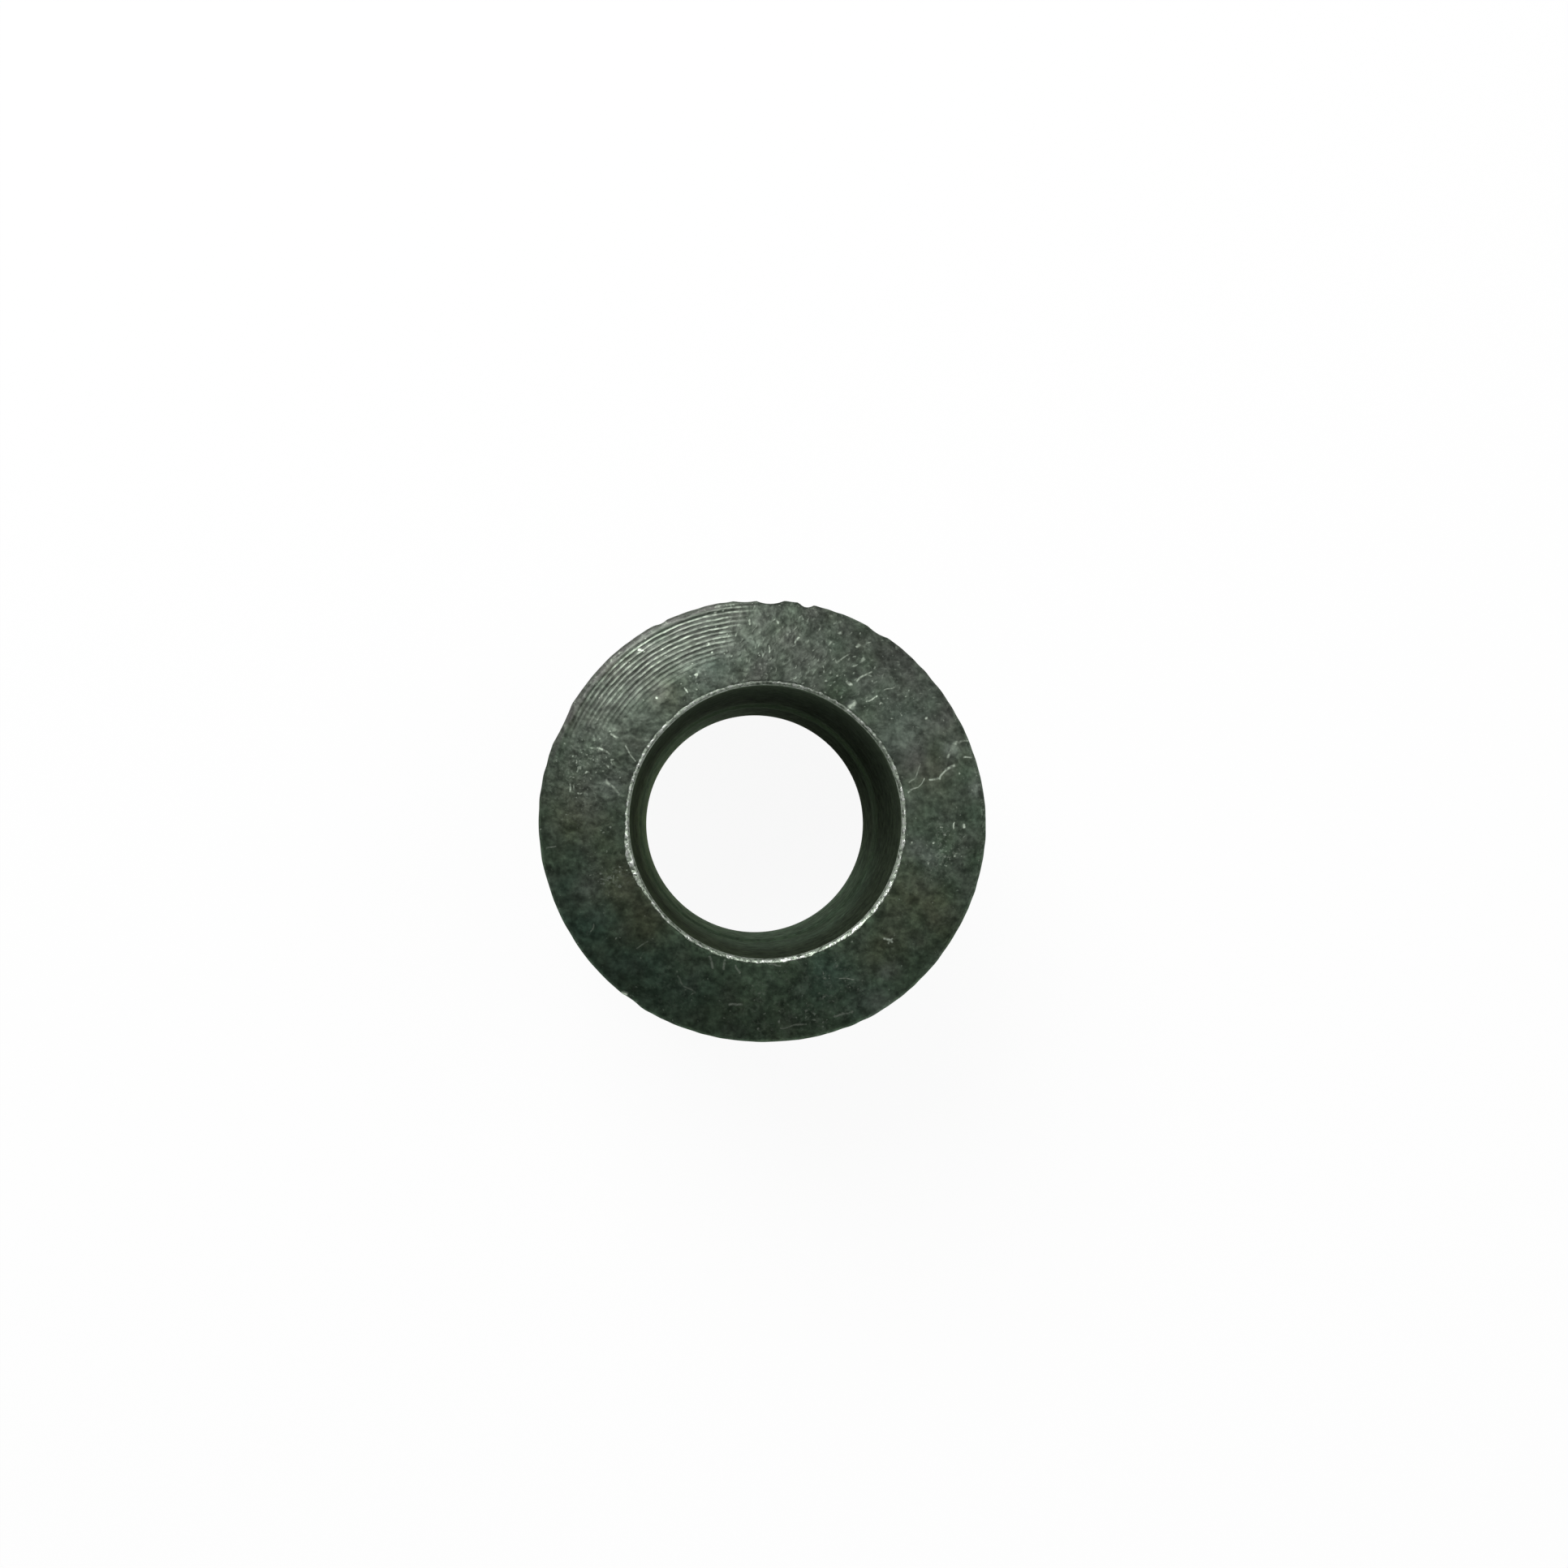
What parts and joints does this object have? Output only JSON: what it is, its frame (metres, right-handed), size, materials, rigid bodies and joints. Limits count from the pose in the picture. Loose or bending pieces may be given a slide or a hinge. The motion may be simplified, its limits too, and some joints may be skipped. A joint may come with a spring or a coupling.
{
  "type": "clutch nut",
  "caption": "Plain round clutch nut: a blackened steel sleeve with a smooth, stepped through bore and a shallow crowned upper end.",
  "frame": {"origin": "on the bore's axis, in the flat end that the nut rests on", "axes": "+Z along the bore, towards the crowned end; +X to the right and +Y up in a straight view down on the crown"},
  "size_m": [0.032, 0.032, 0.028],
  "materials": {
    "blackened_steel": "oil-blackened steel, dark green-grey, satin, with bright worn edges and fine turning marks on the crown"
  },
  "bodies": {
    "root": {"clutch_nut": "blackened_steel"}
  },
  "joints": []
}
